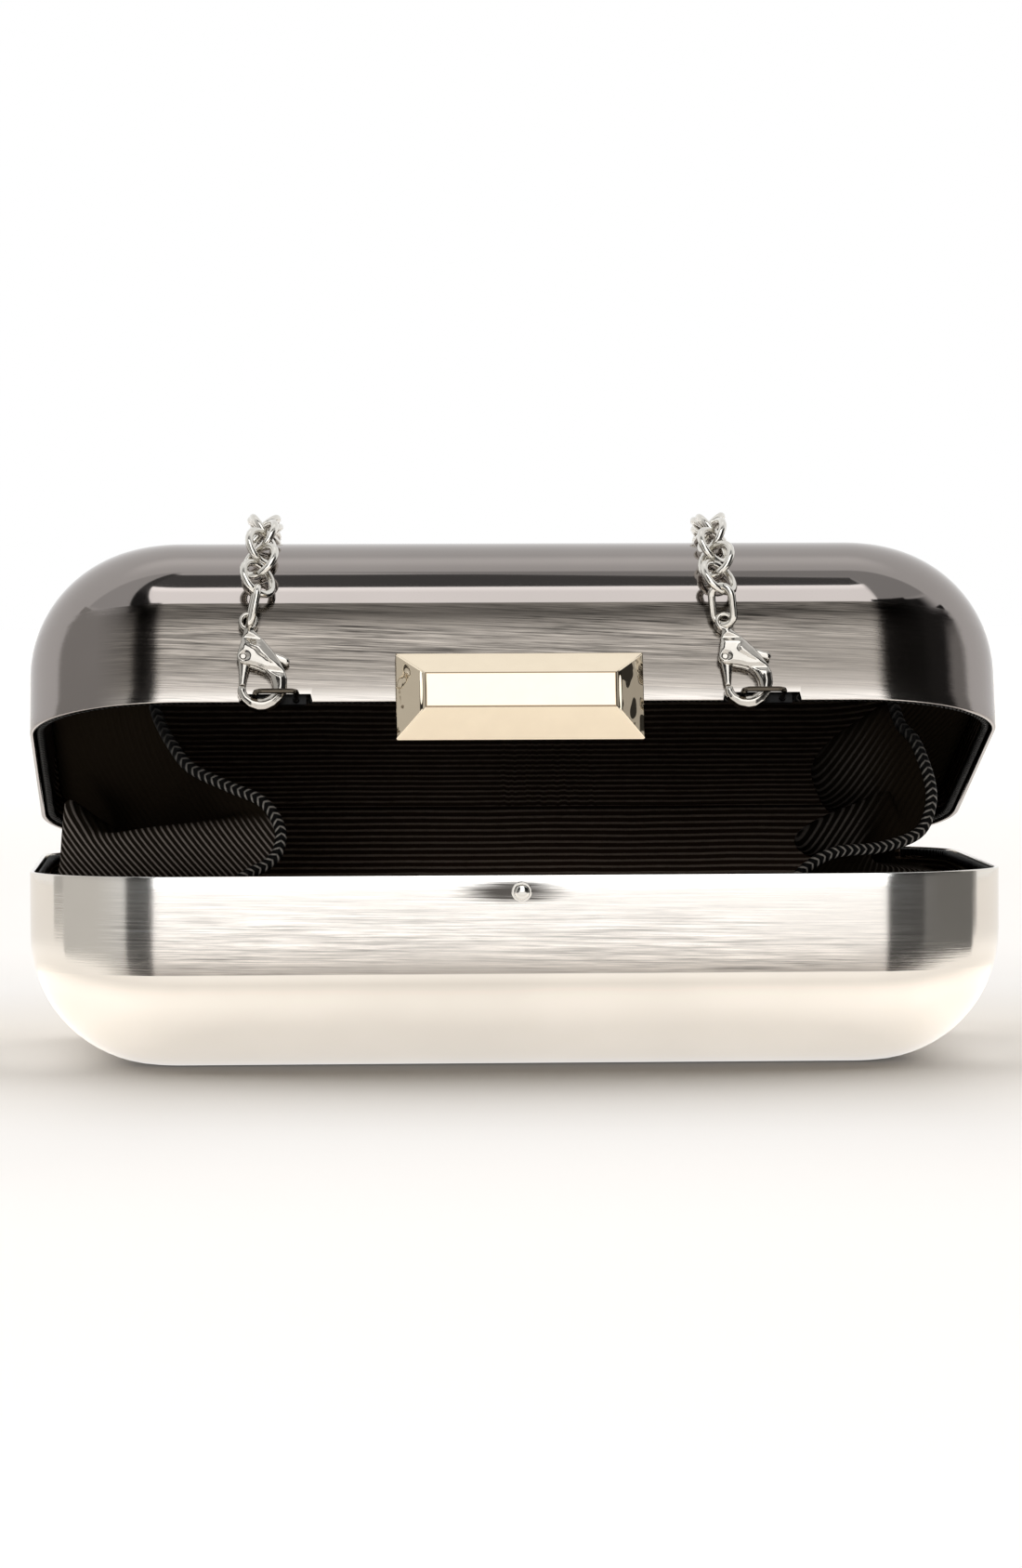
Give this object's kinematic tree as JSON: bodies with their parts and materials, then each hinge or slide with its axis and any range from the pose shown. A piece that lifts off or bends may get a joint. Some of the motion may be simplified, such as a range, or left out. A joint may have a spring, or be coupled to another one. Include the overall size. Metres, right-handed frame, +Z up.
{
  "type": "box clutch",
  "caption": "Hard-shell box clutch with a rear-hinged lid shown open, rocking bar clasp and catch stud, fabric gussets, and a long chain on two lobster clips",
  "frame": {"origin": "Centre of the flat resting face under the lower shell", "axes": "+X along the width, to the right seen from the clasp; +Y from the clasp to the hinge; +Z up from the resting face"},
  "size_m": [0.178, 0.2008, 0.103],
  "materials": {
    "lower_metal": "brushed nickel silver",
    "upper_metal": "brushed dark gunmetal",
    "gold": "polished pale gold plate",
    "bright": "polished nickel plate",
    "chain": "polished nickel links",
    "steel": "plain steel",
    "lining": "black ribbed grosgrain",
    "card": "grey card"
  },
  "bodies": {
    "base": {"lower_shell": "lower_metal", "lower_board": "card", "lower_lining": "lining", "lower_rim_braid": "lining", "catch_stud": "bright", "stud_washer": "steel", "hinge_leaf_lower": "lower_metal", "hinge_rivet_lower_1": "steel", "hinge_rivet_lower_2": "steel", "hinge_rivet_lower_3": "steel", "hinge_pin": "steel", "left_gusset": "lining", "left_gusset_cord": "lining", "right_gusset": "lining", "right_gusset_cord": "lining", "hinge_flap": "lining", "chain_left_drop": "chain", "chain_right_drop": "chain", "chain_coil": "chain"},
    "lid": {"upper_shell": "upper_metal", "upper_board": "card", "upper_lining": "lining", "upper_rim_braid": "lining", "upper_rim_braid_front": "lining", "hinge_leaf_upper": "lower_metal", "hinge_rivet_upper_1": "steel", "hinge_rivet_upper_2": "steel", "hinge_rivet_upper_3": "steel", "clasp_bracket": "steel", "clasp_bracket_rivet_1": "steel", "clasp_bracket_rivet_2": "steel", "clasp_pin": "steel", "clasp_spring": "steel", "left_bail": "bright", "left_bail_bracket": "steel", "right_bail": "bright", "right_bail_bracket": "steel", "chain_left_over": "chain", "chain_right_over": "chain"},
    "clasp": {"clasp_bar": "gold", "catch_spring": "steel"},
    "left_clip": {"left_clip_hook": "bright", "left_clip_rivet": "bright", "left_lever_spring": "steel"},
    "left_lever": {"left_clip_lever": "bright"},
    "right_clip": {"right_clip_hook": "bright", "right_clip_rivet": "bright", "right_lever_spring": "steel"},
    "right_lever": {"right_clip_lever": "bright"}
  },
  "joints": [
    {"name": "lid_hinge", "type": "hinge", "parent": "base", "child": "lid", "pos_m": [0, 0.0495, 0.0357], "axis": [-1, 0, 0], "range_deg": [-18.5, 21.5], "deforming": ["left_gusset", "right_gusset", "left_gusset_cord", "right_gusset_cord", "hinge_flap", "chain_left_drop", "chain_right_drop", "catch_spring"]},
    {"name": "clasp_rock", "type": "hinge", "parent": "lid", "child": "clasp", "pos_m": [0, -0.04343, 0.07122], "axis": [-1, 0, 0], "range_deg": [0, 10], "stiffness_Nm_per_rad": 0.05, "springref_deg": -5.73, "deforming": ["clasp_spring"]},
    {"name": "left_clip_swing", "type": "hinge", "parent": "lid", "child": "left_clip", "pos_m": [-0.04888, -0.0433, 0.06499], "axis": [1, 0, 0], "range_deg": [0, 20]},
    {"name": "right_clip_swing", "type": "hinge", "parent": "lid", "child": "right_clip", "pos_m": [0.03732, -0.04339, 0.06472], "axis": [1, 0, 0], "range_deg": [0, 20]},
    {"name": "left_lever_press", "type": "hinge", "parent": "left_clip", "child": "left_lever", "pos_m": [-0.04986, -0.04137, 0.07455], "axis": [0, -0.9483, 0.3173], "range_deg": [0, 20], "stiffness_Nm_per_rad": 0.005, "springref_deg": -5.73, "deforming": ["left_lever_spring"]},
    {"name": "right_lever_press", "type": "hinge", "parent": "right_clip", "child": "right_lever", "pos_m": [0.03723, -0.04148, 0.07422], "axis": [0, -0.9483, 0.3173], "range_deg": [0, 20], "stiffness_Nm_per_rad": 0.005, "springref_deg": -5.73, "deforming": ["right_lever_spring"]}
  ]
}
